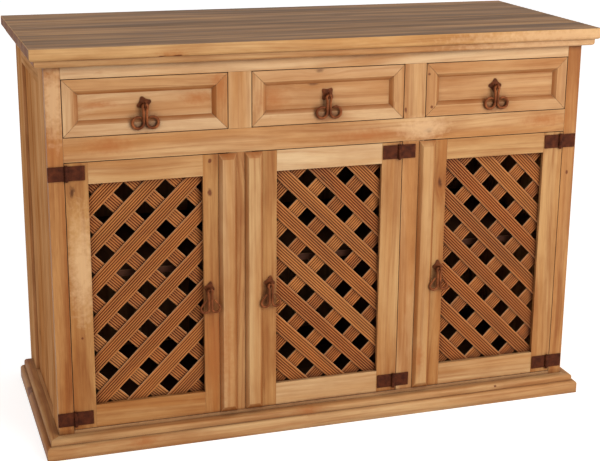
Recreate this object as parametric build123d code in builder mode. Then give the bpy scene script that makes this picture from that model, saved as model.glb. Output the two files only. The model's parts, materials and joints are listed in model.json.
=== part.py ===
"""A pine sideboard with three drawers over three lattice doors.

Millimetres, +Z up, +X along the front, the front facing -Y. The origin is on the floor,
under the middle of the whole cabinet. Every wooden piece is its own solid.
"""

from build123d import *
from math import acos, cos, degrees, radians, sin, sqrt
import os

os.makedirs("parts", exist_ok=True)

# ---- Overall sizes -------------------------------------------------------------------
height = 950.0  # floor to the top surface
carcass_width = 1298.0  # across the face frame
carcass_depth = 530.0  # face frame to the back edge of the sides
overhang = 33.0  # the top and the plinth stand out this far
joint_gap = 0.2  # dry joint between two boards

# ---- Top and mouldings ---------------------------------------------------------------
top_thick = 27.0
top_plank_count = 4
edge_round = 8.0  # rounding of the top's lower edge and the plinth's upper edge
moulding_high = 16.0
moulding_reach = 22.5
moulding_round = 7.0
plinth_high = 32.0
plinth_stop = 36.0  # the side plinths end this far before the back edge

# ---- Face frame ----------------------------------------------------------------------
frame_thick = 22.0
post_wide = 35.0
stile_wide = 54.5
bottom_rail_high = 56.0
drawer_rail_high = 55.0
top_rail_high = 44.5
drawer_open_high = 130.0
bay_count = 3

# ---- Sides, back and inside ----------------------------------------------------------
side_thick = 22.0
side_front_stile = 100.0  # from the front face, the post's thickness included
side_back_stile = 115.0
side_top_rail_high = 72.0
side_bottom_rail_high = 48.0
panel_thick = 10.0
panel_recess = 8.0
panel_tongue = 8.0
panel_play = 0.3
partition_thick = 20.0
back_board_thick = 12.0
back_board_count = 9
back_board_inset = 4.0
back_rail_thick = 20.0
back_rail_high = 60.0
floor_thick = 16.0
floor_plank_count = 3
bearer_wide = 20.0
shelf_thick = 16.0
shelf_level = 423.0  # its upper face
shelf_setback = 40.0
shelf_play = 0.3
cleat_wide = 15.0
cleat_high = 20.0
cleat_setback = 60.0

# ---- Doors ---------------------------------------------------------------------------
door_gap = 1.5
door_thick = 22.0
hinge_stile = 51.0
pull_stile = 59.0
door_top_rail = 49.5
door_bottom_rail = 55.5
rebate_wide = 8.0
slat_wide = 33.0
slat_pitch = 67.0
slat_thick = 6.0
lattice_shift = (-2.5, 0.5)  # where the middle hole lies from the window's middle
strip_wide = 42.0
strip_thick = 9.5
strip_foot = 2.0  # thickness left at the foot of its bevels
strip_bevel = 7.5
strip_end_bevel = 13.0
strip_laps = (18.0, 16.0, 12.0)  # how far each strip lies over the stile beside its door
strip_clearance = 0.4  # between a strip and that stile
hinged_left = (True, False, False)

# ---- Drawers -------------------------------------------------------------------------
drawer_gap = 1.5
drawer_front_thick = 20.0
drawer_border = 25.0
drawer_bevel = 10.5
drawer_panel_recess = 8.0
drawer_panel_thick = 10.0
drawer_panel_tongue = 8.0
box_gap = 4.0
box_board = 12.0
box_high = 100.0
box_back_gap = 44.0  # from a drawer's box to the back rails
box_bottom_thick = 6.0
box_bottom_rise = 6.0
runner_high = 20.0
runner_lap = 14.0  # how far a runner reaches under the drawer's side
guide_high = 20.0
running_gap = 0.3

# ---- Surface hinges ------------------------------------------------------------------
hinge_high = 33.0
hinge_rise = 27.0  # lower hinge's centre from the door's lower edge
hinge_drop = 23.0  # upper hinge's centre from the door's upper edge
hinge_insets = (3.0, 7.5, 7.5)  # pin axis to the door's edge
leaf_thick = 2.0
leaf_wide = 41.0  # from the pin axis
knuckle_radius = 4.0
knuckle_lift = 0.2  # knuckle to the door's face
knuckle_gap = 0.4
pin_radius = 2.0
pin_running_gap = 0.08
pin_fixed_gap = 0.02
pin_head_high = 2.0
pin_head_radius = 3.4

# ---- Forged drop pulls ---------------------------------------------------------------
rod_radius = 3.0
loop_clearance = 0.5  # from a hanging loop to the face of a door's strip
eye_play = 1.1  # between the handle's eye and the pin's wire
eye_turn = 105.0
neck_radius = 20.0
stem_gap = 1.2  # between the two stems
tail_gap = 0.6
drawer_pull_drop = 56.5  # pivot to the lowest point
drawer_loop_radius = 12.8
drawer_pull_shifts = (-4.0, -2.5, -3.5)  # from the drawer's middle
drawer_pull_rise = 2.0
door_pull_drop = 58.0
door_loop_radius = 9.7
door_loop_turn = 217.0
door_pull_shares = (9 / 20.5, 1 / 18.5, 0.5 / 14.5)  # of the bare stile left beside the plate
door_pull_lower = 2.5  # below the door's middle
plate_thick = 2.0
plate_hollow = 2.4
drawer_plate_half = (19.8, 19.8)  # centre to the side points and to the upper point
door_plate_half = (16.0, 20.0)
drawer_plate_turns = (-20.0, 42.0, 0.0)  # clockwise, from standing on a point
door_plate_turns = (15.0, 8.0, 0.0)
pin_eye_wire = 1.5
pin_eye_play = 0.4  # between the rod and the wire round it
shank_radius = 2.0
shank_long = 15.0
shank_gap = 0.05
shank_end_gap = 0.5

# ---- Places that follow from the sizes -----------------------------------------------
half_width = carcass_width / 2
front = overhang - (carcass_depth + overhang) / 2
back = front + carcass_depth
frame_back = front + frame_thick
back_face = back - back_board_inset - back_board_thick  # front of the back boards
inner_back = back_face - back_rail_thick
side_inner = half_width - side_thick
under_top = height - top_thick
drawer_top = under_top - top_rail_high
drawer_level = drawer_top - drawer_open_high
door_top = drawer_level - drawer_rail_high
opening_wide = (carcass_width - 2 * post_wide - (bay_count - 1) * stile_wide) / bay_count
bay_left = [-half_width + post_wide + i * (opening_wide + stile_wide) for i in range(bay_count)]
bay_right = [x + opening_wide for x in bay_left]
divider_middle = [(bay_right[i] + bay_left[i + 1]) / 2 for i in range(bay_count - 1)]
wall_left = [-side_inner] + [x + partition_thick / 2 for x in divider_middle]
wall_right = [x - partition_thick / 2 for x in divider_middle] + [side_inner]
door_low = bottom_rail_high + door_gap
door_high = door_top - door_gap
box_level = drawer_level + drawer_gap
runner_top = box_level - running_gap
pull_stand = strip_thick + loop_clearance + rod_radius  # pivot to the surface behind
eye_radius = rod_radius + pin_eye_wire + eye_play
stem_apart = rod_radius + stem_gap / 2  # stem centre to the middle of the pull
pin_eye_radius = rod_radius + pin_eye_play + pin_eye_wire


def upright(y, x=0.0, z=0.0):
    """An upright plane at depth y, with its local x towards -X; extrusions go towards +Y."""
    return Plane(origin=(x, y, z), x_dir=(-1, 0, 0), z_dir=(0, 1, 0))


def block(low, high, mode=Mode.ADD):
    """A squared board between two opposite corners, in the part being made."""
    size = [high[i] - low[i] for i in range(3)]
    with Locations(low):
        Box(*size, align=(Align.MIN, Align.MIN, Align.MIN), mode=mode)


def save(builder, label):
    """Label a finished piece and write it to its own file."""
    builder.part.label = label
    export_step(builder.part, f"parts/{label}.step")


# ---- Top -----------------------------------------------------------------------------
top_half_width = half_width + overhang
top_front = front - overhang
with BuildPart() as top_boards:
    block((-top_half_width, top_front, under_top), (top_half_width, back, height))
    lower_edges = top_boards.edges().group_by(Axis.Z)[0]
    fillet(lower_edges.sort_by(Axis.Y)[:-1], edge_round)
    plank = (back - top_front) / top_plank_count
    for i in range(1, top_plank_count):
        y = top_front + i * plank
        low = (-top_half_width, y - joint_gap / 2, under_top)
        block(low, (top_half_width, y + joint_gap / 2, height), Mode.SUBTRACT)
save(top_boards, "top_boards")


# ---- Mitred mouldings round the front and both sides ---------------------------------
def mitred_run(level, high, reach, radius, round_top, end):
    """Three mitred lengths on the outside of the carcass, with one rounded edge."""
    turn = 1 if round_top else -1
    start = level if round_top else level + high
    with BuildPart() as run:
        with BuildLine() as path:
            Polyline((-half_width, end), (-half_width, front), (half_width, front), (half_width, end))
        # The section's local x points out of the cabinet; its local y points up or down.
        section = Plane(origin=(-half_width, end, start), x_dir=(-1, 0, 0), z_dir=(0, turn, 0))
        with BuildSketch(section) as profile:
            Rectangle(reach, high, align=(Align.MIN, Align.MIN))
            outer = profile.vertices().sort_by(Axis.X)[-2:]
            fillet(outer.sort_by(Axis.Y)[-1], radius)
        sweep(path=path.line, transition=Transition.RIGHT)
        for side in (-1, 1):
            corner = (side * (half_width + reach / 2), front - reach / 2, level)
            mitre = Plane(origin=corner, x_dir=(side, -1, 0), z_dir=(0, 0, 1))
            with BuildSketch(mitre):
                Rectangle(2 * reach, joint_gap)
            extrude(amount=high, mode=Mode.SUBTRACT)
    return run


cornice_level = under_top - moulding_high
cornice = mitred_run(cornice_level, moulding_high, moulding_reach, moulding_round, False, back)
save(cornice, "cornice")

plinth_end = back - plinth_stop
plinth_boards = mitred_run(0, plinth_high, overhang, edge_round, True, plinth_end)
save(plinth_boards, "plinth_boards")

base_moulding = mitred_run(plinth_high, moulding_high, moulding_reach, moulding_round, True, plinth_end)
save(base_moulding, "base_moulding")

# ---- Face frame ----------------------------------------------------------------------
with BuildPart() as face_posts:
    block((-half_width, front, 0), (post_wide - half_width, frame_back, under_top))
    mirror(about=Plane.YZ)
save(face_posts, "face_posts")

rail_half = half_width - post_wide
with BuildPart() as top_rail:
    block((-rail_half, front, drawer_top), (rail_half, frame_back, under_top))
save(top_rail, "top_rail")

with BuildPart() as drawer_rail:
    block((-rail_half, front, door_top), (rail_half, frame_back, drawer_level))
save(drawer_rail, "drawer_rail")

with BuildPart() as bottom_rail:
    block((-rail_half, front, 0), (rail_half, frame_back, bottom_rail_high))
save(bottom_rail, "bottom_rail")

with BuildPart() as drawer_dividers:
    for i in range(bay_count - 1):
        block((bay_right[i], front, drawer_level), (bay_left[i + 1], frame_back, drawer_top))
save(drawer_dividers, "drawer_dividers")

with BuildPart() as fixed_stiles:
    for i in range(bay_count - 1):
        block((bay_right[i], front, bottom_rail_high), (bay_left[i + 1], frame_back, door_top))
save(fixed_stiles, "fixed_stiles")

# ---- Framed sides --------------------------------------------------------------------
panel_front = front + side_front_stile
panel_back = back - side_back_stile
panel_low = side_bottom_rail_high
panel_high = under_top - side_top_rail_high
groove_out = panel_recess - half_width
groove_in = groove_out + panel_thick
groove_low = (groove_out, panel_front - panel_tongue, panel_low - panel_tongue)
groove_high = (groove_in, panel_back + panel_tongue, panel_high + panel_tongue)

with BuildPart() as side_stiles:
    block((-half_width, frame_back, 0), (-side_inner, panel_front, under_top))
    block((-half_width, panel_back, 0), (-side_inner, back, under_top))
    block(groove_low, groove_high, Mode.SUBTRACT)
    mirror(about=Plane.YZ)
save(side_stiles, "side_stiles")

with BuildPart() as side_rails:
    block((-half_width, panel_front, 0), (-side_inner, panel_back, panel_low))
    block((-half_width, panel_front, panel_high), (-side_inner, panel_back, under_top))
    block(groove_low, groove_high, Mode.SUBTRACT)
    mirror(about=Plane.YZ)
save(side_rails, "side_rails")

with BuildPart() as side_panels:
    block(
        (groove_out, groove_low[1] + panel_play, groove_low[2] + panel_play),
        (groove_in, groove_high[1] - panel_play, groove_high[2] - panel_play),
    )
    mirror(about=Plane.YZ)
save(side_panels, "side_panels")

# ---- Back ----------------------------------------------------------------------------
with BuildPart() as back_rails:
    block((-side_inner, inner_back, 0), (side_inner, back_face, back_rail_high))
    block((-side_inner, inner_back, under_top - back_rail_high), (side_inner, back_face, under_top))
save(back_rails, "back_rails")

with BuildPart() as back_boards:
    back_board_wide = 2 * side_inner / back_board_count
    for i in range(back_board_count):
        x = i * back_board_wide - side_inner
        far = x + back_board_wide - joint_gap
        block((x, back_face, 0), (far, back_face + back_board_thick, under_top))
save(back_boards, "back_boards")

# ---- Floor, partitions and shelves ---------------------------------------------------
floor_under = bottom_rail_high - floor_thick
with BuildPart() as floor_boards:
    plank = (inner_back - frame_back) / floor_plank_count
    for i in range(floor_plank_count):
        y = frame_back + i * plank
        far = y + plank - (joint_gap if i < floor_plank_count - 1 else 0)
        block((-side_inner, y, floor_under), (side_inner, far, bottom_rail_high))
save(floor_boards, "floor_boards")

with BuildPart() as floor_bearers:
    block((-side_inner, frame_back, 0), (bearer_wide - side_inner, inner_back, floor_under))
    block((side_inner - bearer_wide, frame_back, 0), (side_inner, inner_back, floor_under))
    for x in divider_middle:
        block((x - bearer_wide / 2, frame_back, 0), (x + bearer_wide / 2, inner_back, floor_under))
save(floor_bearers, "floor_bearers")

with BuildPart() as partitions:
    for x in divider_middle:
        low = (x - partition_thick / 2, frame_back, bottom_rail_high)
        block(low, (x + partition_thick / 2, inner_back, under_top))
save(partitions, "partitions")

shelf_under = shelf_level - shelf_thick
with BuildPart() as shelves:
    for i in range(bay_count):
        low = (wall_left[i] + shelf_play, front + shelf_setback, shelf_under)
        block(low, (wall_right[i] - shelf_play, inner_back, shelf_level))
save(shelves, "shelves")

with BuildPart() as shelf_cleats:
    for i in range(bay_count):
        for x in (wall_left[i], wall_right[i] - cleat_wide):
            low = (x, front + cleat_setback, shelf_under - cleat_high)
            block(low, (x + cleat_wide, inner_back, shelf_under))
save(shelf_cleats, "shelf_cleats")

# ---- Drawer runners and guides -------------------------------------------------------
with BuildPart() as drawer_runners:
    for i in range(bay_count):
        reach = box_gap + box_board + runner_lap
        low = (wall_left[i], frame_back, runner_top - runner_high)
        block(low, (bay_left[i] + reach, inner_back, runner_top))
        low = (bay_right[i] - reach, frame_back, runner_top - runner_high)
        block(low, (wall_right[i], inner_back, runner_top))
save(drawer_runners, "drawer_runners")

with BuildPart() as drawer_guides:
    for i in range(bay_count):
        reach = box_gap - running_gap
        low = (wall_left[i], frame_back, runner_top)
        block(low, (bay_left[i] + reach, inner_back, runner_top + guide_high))
        low = (bay_right[i] - reach, frame_back, runner_top)
        block(low, (wall_right[i], inner_back, runner_top + guide_high))
save(drawer_guides, "drawer_guides")


# ---- Forged drop pulls ---------------------------------------------------------------
def pull_plate(x, y, z, half, turn):
    """A four-pointed iron plate with hollowed sides, and the eye pin that the drop hangs on.

    x, y, z is the pivot; the plate lies on the wood, pull_stand behind it.
    """
    corners = [(half[0], 0), (0, half[1]), (-half[0], 0), (0, -half[1])]
    points = [Vector(*corner).rotate(Axis.Z, turn) for corner in corners]
    with BuildPart() as plate:
        with BuildSketch(upright(y + pull_stand - plate_thick, x, z)):
            with BuildLine():
                for i in range(len(points)):
                    SagittaArc(points[i - 1], points[i], plate_hollow)
            make_face()
            Circle(shank_radius + shank_gap, mode=Mode.SUBTRACT)
        extrude(amount=plate_thick)
        with Locations((x, y, z)):
            Torus(pin_eye_radius, pin_eye_wire, rotation=(0, 90, 0))
        with BuildSketch(upright(y + pin_eye_radius, x, z)):
            Circle(shank_radius)
        extrude(amount=shank_long)
    return plate


def shank_hole(x, y, z):
    """The hole for the eye pin of the pull at x, y, z, in the part being made."""
    deep = pin_eye_radius + shank_long + shank_end_gap - pull_stand
    with Locations(Location((x, y + pull_stand, z), (-90, 0, 0))):
        Cylinder(shank_radius + shank_gap, 2 * deep, mode=Mode.SUBTRACT)


def pull_handle(x, y, z, drop, loop_radius, loop_turn):
    """A rod bent into a small eye, two stems and two outward loops, hanging from x, y, z."""
    loop_drop = drop - rod_radius - loop_radius
    eye_out = eye_radius * sin(radians(eye_turn))
    neck_turn = eye_turn - 90
    neck_in = neck_radius * (1 - cos(radians(neck_turn)))
    shoulder_long = (eye_out - stem_apart - neck_in) / sin(radians(neck_turn))
    tail_stop = stem_apart + 2 * rod_radius + tail_gap
    hanging = Plane(origin=(x, y, z), x_dir=(1, 0, 0), z_dir=(0, -1, 0))
    with BuildPart() as handle:
        with BuildLine(hanging) as rod:
            eye = JernArc(start=(0, 0), tangent=(1, 0), radius=eye_radius, arc_size=-eye_turn)
            shoulder = PolarLine(eye @ 1, shoulder_long, -eye_turn)
            neck = JernArc(start=shoulder @ 1, tangent=shoulder % 1, radius=neck_radius, arc_size=neck_turn)
            stem = Line(neck @ 1, (stem_apart, -loop_drop))
            loop = JernArc(start=stem @ 1, tangent=(0, -1), radius=loop_radius, arc_size=loop_turn)
            loop_end = stem_apart + loop_radius * (1 - cos(radians(loop_turn)))
            if loop_end > tail_stop + rod_radius:
                tail_angle = loop_turn - 90
                PolarLine(loop @ 1, (loop_end - tail_stop) / -cos(radians(tail_angle)), tail_angle)
        with BuildSketch(Plane(origin=(x, y, z), x_dir=(0, 0, 1), z_dir=(1, 0, 0))):
            Circle(rod_radius)
        sweep(path=rod.wires()[0])
        mirror(about=Plane.YZ.offset(x))
    return handle


def closing_turn(loop_radius):
    """How far a round loop turns before its tail would meet the stem."""
    reach = 2 * rod_radius + tail_gap
    return 360 - degrees(acos(1 - reach / loop_radius))


# ---- Drawers -------------------------------------------------------------------------
drawer_pivot_y = front + drawer_panel_recess - pull_stand
drawer_middle = (drawer_level + drawer_top) / 2
drawer_pivot_z = drawer_middle + drawer_pull_rise


def drawer_frame(middle):
    """The drawer front's four mitred borders, bevelled down to the panel inside."""
    wide = opening_wide - 2 * drawer_gap
    high = drawer_open_high - 2 * drawer_gap
    border = drawer_border + drawer_bevel
    centre = (-middle, drawer_middle)
    with BuildPart() as frame:
        with BuildSketch(upright(front)):
            with Locations(centre):
                Rectangle(wide, high)
        extrude(amount=drawer_front_thick)
        # The opening narrows from the flat border's edge down to the panel.
        with BuildSketch(upright(front)):
            with Locations(centre):
                Rectangle(wide - 2 * drawer_border, high - 2 * drawer_border)
        with BuildSketch(upright(front + drawer_panel_recess)):
            with Locations(centre):
                Rectangle(wide - 2 * border, high - 2 * border)
        loft(mode=Mode.SUBTRACT)
        with BuildSketch(upright(front + drawer_panel_recess)):
            with Locations(centre):
                rebate = 2 * (border - drawer_panel_tongue)
                Rectangle(wide - rebate, high - rebate)
        extrude(amount=drawer_front_thick, mode=Mode.SUBTRACT)
        with BuildSketch(upright(front)):
            for side in (-1, 1):
                for level in (-1, 1):
                    corner = (centre[0] + side * wide / 2, centre[1] + level * high / 2)
                    with Locations(Location(corner, side * level * 45)):
                        Rectangle(4 * border, joint_gap)
        extrude(amount=drawer_front_thick, mode=Mode.SUBTRACT)
    return frame


def drawer_panel(middle, pivot):
    """The flat panel behind the borders, bored for the pull's eye pin."""
    border = drawer_border + drawer_bevel - drawer_panel_tongue + panel_play
    half_wide = opening_wide / 2 - drawer_gap - border
    half_high = drawer_open_high / 2 - drawer_gap - border
    face = front + drawer_panel_recess
    with BuildPart() as panel:
        low = (middle - half_wide, face, drawer_middle - half_high)
        block(low, (middle + half_wide, face + drawer_panel_thick, drawer_middle + half_high))
        shank_hole(*pivot)
    return panel


def drawer_box(middle):
    """The plain box behind a drawer front: two sides, two ends and a bottom."""
    out = opening_wide / 2 - box_gap
    inside = out - box_board
    near = front + drawer_front_thick
    far = inner_back - box_back_gap
    top = box_level + box_high
    clear = inside - joint_gap
    with BuildPart() as box:
        for x in (middle - out, middle + inside):
            block((x, near, box_level), (x + box_board, far, top))
        for y in (near, far - box_board):
            block((middle - clear, y, box_level), (middle + clear, y + box_board, top))
        shelf = box_level + box_bottom_rise
        low = (middle - clear, near + box_board + joint_gap, shelf)
        block(low, (middle + clear, far - box_board - joint_gap, shelf + box_bottom_thick))
    return box


for i in range(bay_count):
    name = f"drawer_{i + 1}"
    middle = (bay_left[i] + bay_right[i]) / 2
    pivot = (middle + drawer_pull_shifts[i], drawer_pivot_y, drawer_pivot_z)
    save(drawer_frame(middle), f"{name}_frame")
    save(drawer_panel(middle, pivot), f"{name}_panel")
    save(drawer_box(middle), f"{name}_box")
    save(pull_plate(*pivot, drawer_plate_half, drawer_plate_turns[i]), f"{name}_pull_plate")
    loop_turn = closing_turn(drawer_loop_radius)
    handle = pull_handle(*pivot, drawer_pull_drop, drawer_loop_radius, loop_turn)
    save(handle, f"{name}_pull_handle")


# ---- Doors ---------------------------------------------------------------------------
door_pivot_y = front - pull_stand
door_pivot_z = (door_low + door_high) / 2 - door_pull_lower
window_low = door_low + door_bottom_rail
window_high = door_high - door_top_rail
window_middle = (window_low + window_high) / 2
rebate_face = front + door_thick - 2 * slat_thick


def door_edges(i):
    """The door's hinge edge and free edge, and the way from the first to the second."""
    low = bay_left[i] + door_gap
    high = bay_right[i] - door_gap
    return (low, high, 1) if hinged_left[i] else (high, low, -1)


def window_edges(i):
    """The left and right edges of the door's window."""
    hinge_edge, free_edge, way = door_edges(i)
    return sorted((hinge_edge + way * hinge_stile, free_edge - way * pull_stile))


def strip_edges(i):
    """The outer and inner edges of the strip on a door's free edge."""
    hinge_edge, free_edge, way = door_edges(i)
    outer = free_edge + way * (door_gap + strip_laps[i])
    return outer, outer - way * strip_wide


def door_pivot(i):
    """Where a door's pull hangs: its plate clears the strip by a share of the bare stile."""
    free_edge, way = door_edges(i)[1:]
    strip_edge = strip_edges(i)[1]
    bare = way * (strip_edge - free_edge) + pull_stile - door_plate_half[0]
    offset = door_plate_half[0] + door_pull_shares[i] * bare
    return strip_edge - way * offset, door_pivot_y, door_pivot_z


def door_frame(i):
    """Two stiles and two rails round a window, rebated behind for the lattice."""
    x0, x1 = sorted(door_edges(i)[:2])
    left, right = window_edges(i)
    with BuildPart() as frame:
        block((x0, front, door_low), (x1, front + door_thick, door_high))
        block((left, front, window_low), (right, front + door_thick, window_high), Mode.SUBTRACT)
        low = (left - rebate_wide, rebate_face, window_low - rebate_wide)
        far = (right + rebate_wide, front + door_thick, window_high + rebate_wide)
        block(low, far, Mode.SUBTRACT)
        for x in (left, right):
            low = (x - joint_gap / 2, front, door_low)
            block(low, (x + joint_gap / 2, front + door_thick, door_high), Mode.SUBTRACT)
        shank_hole(*door_pivot(i))
    return frame


def lattice_layer(i, y, turn):
    """One layer of parallel slats at 45 degrees, trimmed to the rebate."""
    left, right = window_edges(i)
    centre = (-(left + right) / 2, window_middle)
    long = (right - left) + (window_high - window_low)
    slat_count = 2 * round(long / sqrt(2) / slat_pitch / 2)
    with BuildPart() as layer:
        with BuildSketch(upright(y)):
            with Locations(Location((centre[0] - lattice_shift[0], centre[1] + lattice_shift[1]), turn)):
                with GridLocations(slat_pitch, slat_pitch, 1, slat_count):
                    Rectangle(long, slat_wide)
            with Locations(centre):
                wide = right - left + 2 * (rebate_wide - panel_play)
                high = window_high - window_low + 2 * (rebate_wide - panel_play)
                Rectangle(wide, high, mode=Mode.INTERSECT)
        extrude(amount=slat_thick)
    return layer


def door_strip(i):
    """The bevelled strip that covers the gap beside the door's free edge."""
    free_edge = door_edges(i)[1]
    outer, inner = strip_edges(i)
    x0, x1 = sorted((outer, inner))
    with BuildPart() as strip:
        block((x0, front - strip_thick, door_low), (x1, front, door_high))
        long_edges = strip.edges().group_by(Axis.Y)[0].filter_by(Axis.Z)
        chamfer(long_edges, strip_thick - strip_foot, strip_bevel)
        ends = strip.edges().group_by(Axis.Y)[0].filter_by(Axis.X)
        chamfer(ends, strip_thick - strip_foot, strip_end_bevel)
        x0, x1 = sorted((outer, free_edge))
        block((x0, front - strip_clearance, door_low), (x1, front, door_high), Mode.SUBTRACT)
    return strip


def hinge_levels():
    """The heights of a door's two hinges."""
    return door_low + hinge_rise, door_high - hinge_drop


def hinge_axis(i):
    """Where a door's hinge pins stand, in plan."""
    hinge_edge, free_edge, way = door_edges(i)
    return hinge_edge + way * hinge_insets[i], front - knuckle_lift - knuckle_radius


def hinge_leaf(i, level, toward, segments, bore):
    """One flat leaf with its share of the barrel, in the part being made."""
    x, y = hinge_axis(i)
    low = level - hinge_high / 2
    segment = hinge_high / 3
    near = knuckle_radius + knuckle_gap
    sides = sorted((x + toward * near, x + toward * leaf_wide))
    block((sides[0], front - leaf_thick, low), (sides[1], front, low + hinge_high))
    for k in segments:
        z0 = low + k * segment + knuckle_gap / 2
        z1 = low + (k + 1) * segment - knuckle_gap / 2
        tab = sorted((x, x + toward * near))
        block((tab[0], front - leaf_thick, z0), (tab[1], front, z1))
        with Locations((x, y, (z0 + z1) / 2)):
            Cylinder(knuckle_radius, z1 - z0)
    with Locations((x, y, level)):
        Cylinder(bore, 2 * hinge_high, mode=Mode.SUBTRACT)


for i in range(bay_count):
    name = f"door_{i + 1}"
    way = door_edges(i)[2]
    save(door_frame(i), f"{name}_frame")
    save(lattice_layer(i, rebate_face, -45 * way), f"{name}_front_slats")
    save(lattice_layer(i, rebate_face + slat_thick, 45 * way), f"{name}_back_slats")
    save(door_strip(i), f"{name}_strip")
    with BuildPart() as leaves:
        for level in hinge_levels():
            hinge_leaf(i, level, way, (1,), pin_radius + pin_running_gap)
    save(leaves, f"{name}_hinge_leaves")
    pivot = door_pivot(i)
    save(pull_plate(*pivot, door_plate_half, door_plate_turns[i]), f"{name}_pull_plate")
    handle = pull_handle(*pivot, door_pull_drop, door_loop_radius, door_loop_turn)
    save(handle, f"{name}_pull_handle")

with BuildPart() as post_leaves:
    for i in range(bay_count):
        for level in hinge_levels():
            hinge_leaf(i, level, -door_edges(i)[2], (0, 2), pin_radius + pin_fixed_gap)
save(post_leaves, "hinge_post_leaves")

with BuildPart() as hinge_pins:
    for i in range(bay_count):
        x, y = hinge_axis(i)
        for level in hinge_levels():
            with Locations((x, y, level)):
                Cylinder(pin_radius, hinge_high)
            for end in (-1, 1):
                with Locations((x, y, level + end * (hinge_high + pin_head_high) / 2)):
                    Cylinder(pin_head_radius, pin_head_high)
save(hinge_pins, "hinge_pins")
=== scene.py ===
# %% [markdown]
# # A pine sideboard with lattice doors
# The cabinet is rustic: thick pine boards with worn arrises, a dark wax in every corner that is
# deepened there by painted shade, reeded lattice slats and hammered iron. The boards' shapes and
# places come from the frame, and each of them gets its softened edges, its own grain and its
# finish here. All lengths are metres.

# %% Load the frame
import json
from math import acos, atan2, cos, log, pi, radians, sin
import random

import bmesh
import bpy
from mathutils import Matrix, Vector, noise


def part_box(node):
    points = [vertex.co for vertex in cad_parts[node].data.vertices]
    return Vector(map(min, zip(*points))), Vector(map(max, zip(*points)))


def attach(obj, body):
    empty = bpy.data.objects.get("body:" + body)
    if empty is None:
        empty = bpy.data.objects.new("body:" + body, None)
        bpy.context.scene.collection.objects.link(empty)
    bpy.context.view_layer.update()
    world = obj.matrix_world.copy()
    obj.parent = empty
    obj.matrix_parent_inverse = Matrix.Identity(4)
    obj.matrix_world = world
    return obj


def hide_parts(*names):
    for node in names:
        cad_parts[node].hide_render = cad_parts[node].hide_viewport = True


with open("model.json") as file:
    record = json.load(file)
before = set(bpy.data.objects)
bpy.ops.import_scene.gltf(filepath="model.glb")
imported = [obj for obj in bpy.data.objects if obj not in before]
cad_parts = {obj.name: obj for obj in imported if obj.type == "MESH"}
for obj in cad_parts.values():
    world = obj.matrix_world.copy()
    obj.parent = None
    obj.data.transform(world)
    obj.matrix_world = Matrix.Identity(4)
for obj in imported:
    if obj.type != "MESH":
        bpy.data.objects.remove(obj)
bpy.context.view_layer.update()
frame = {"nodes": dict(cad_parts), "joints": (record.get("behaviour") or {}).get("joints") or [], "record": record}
bodies = frame["record"]["behaviour"]["bodies"]
body_of_node = {node: body for body, nodes in bodies.items() for node in nodes}
joint_place = {joint["name"]: Vector(joint["pos_m"]) for joint in frame["joints"] if "pos_m" in joint}
slot_of_node = {part["node"]: part["material_slot"] for part in frame["record"]["subparts"]}

# %% [markdown]
# ## Camera
# The cabinet is seen from its left, a little above its top. The lens is long, so the upright
# edges converge only slightly. The camera is built from its bearing: a turn about the vertical,
# a tilt down and a slight roll.

# %% Camera
view_place = Vector((-1.0011, -3.1056, 1.3956))
view_turn = 0.3267  # to the right of straight on
view_tilt = 0.2798  # below the horizon
view_roll = 0.0122
view_lens = 79.95
view_shift = (-0.0242, -0.0255)

camera_data = bpy.data.cameras.new("camera")
camera = bpy.data.objects.new("camera", camera_data)
bpy.context.scene.collection.objects.link(camera)
camera_data.lens = view_lens
camera_data.shift_x, camera_data.shift_y = view_shift
bearing = Matrix.Rotation(-view_turn, 4, "Z") @ Matrix.Rotation(pi / 2 - view_tilt, 4, "X")
camera.matrix_world = Matrix.Translation(view_place) @ bearing @ Matrix.Rotation(view_roll, 4, "Z")
bpy.context.scene.camera = camera
bpy.context.scene.view_settings.view_transform = "Standard"

# %% [markdown]
# ## Studio
# A pale floor runs far past the cabinet under an even white sky. Rays that come straight from
# the camera, or off a shiny surface, see a lifted floor, so that it reads as white while its
# share of real light still leaves the cabinet's shadow. One large soft lamp in front and to the
# right gives the front its brightness, and a weak one fills the left side.

# %% Materials are made from small node helpers


def srgb(red, green, blue):
    """A colour given as screen values, 0 to 255, as the linear colour that shaders use."""
    values = [v / 255 for v in (red, green, blue)]
    return (*[v / 12.92 if v <= 0.04045 else ((v + 0.055) / 1.055) ** 2.4 for v in values], 1.0)


def feed(tree, socket, value):
    """Link a socket to another node's output, or set its own value."""
    if isinstance(value, bpy.types.NodeSocket):
        tree.links.new(value, socket)
    else:
        socket.default_value = value


def maths(tree, operation, *values, clamp=False):
    """A maths node's result."""
    node = tree.nodes.new("ShaderNodeMath")
    node.operation = operation
    node.use_clamp = clamp
    for socket, value in zip(node.inputs, values):
        feed(tree, socket, value)
    return node.outputs[0]


def mixed(tree, share, first, second, blend="MIX"):
    """Two colours mixed, from the first at 0 to the second at 1."""
    node = tree.nodes.new("ShaderNodeMix")
    node.data_type = "RGBA"
    node.blend_type = blend
    feed(tree, node.inputs["Factor"], share)
    feed(tree, node.inputs[6], first)
    feed(tree, node.inputs[7], second)
    return node.outputs[2]


def ranged(tree, value, low, high, to_low=0.0, to_high=1.0):
    """A value carried from one range to another and held inside it."""
    node = tree.nodes.new("ShaderNodeMapRange")
    for socket, number in zip(node.inputs, (value, low, high, to_low, to_high)):
        feed(tree, socket, number)
    return node.outputs[0]


def clouds(tree, place, scale, detail=2.0, roughness=0.5):
    """Soft noise from 0 to 1 at a place."""
    node = tree.nodes.new("ShaderNodeTexNoise")
    feed(tree, node.inputs["Vector"], place)
    feed(tree, node.inputs["Scale"], scale)
    feed(tree, node.inputs["Detail"], detail)
    feed(tree, node.inputs["Roughness"], roughness)
    return node.outputs["Fac"]


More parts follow.
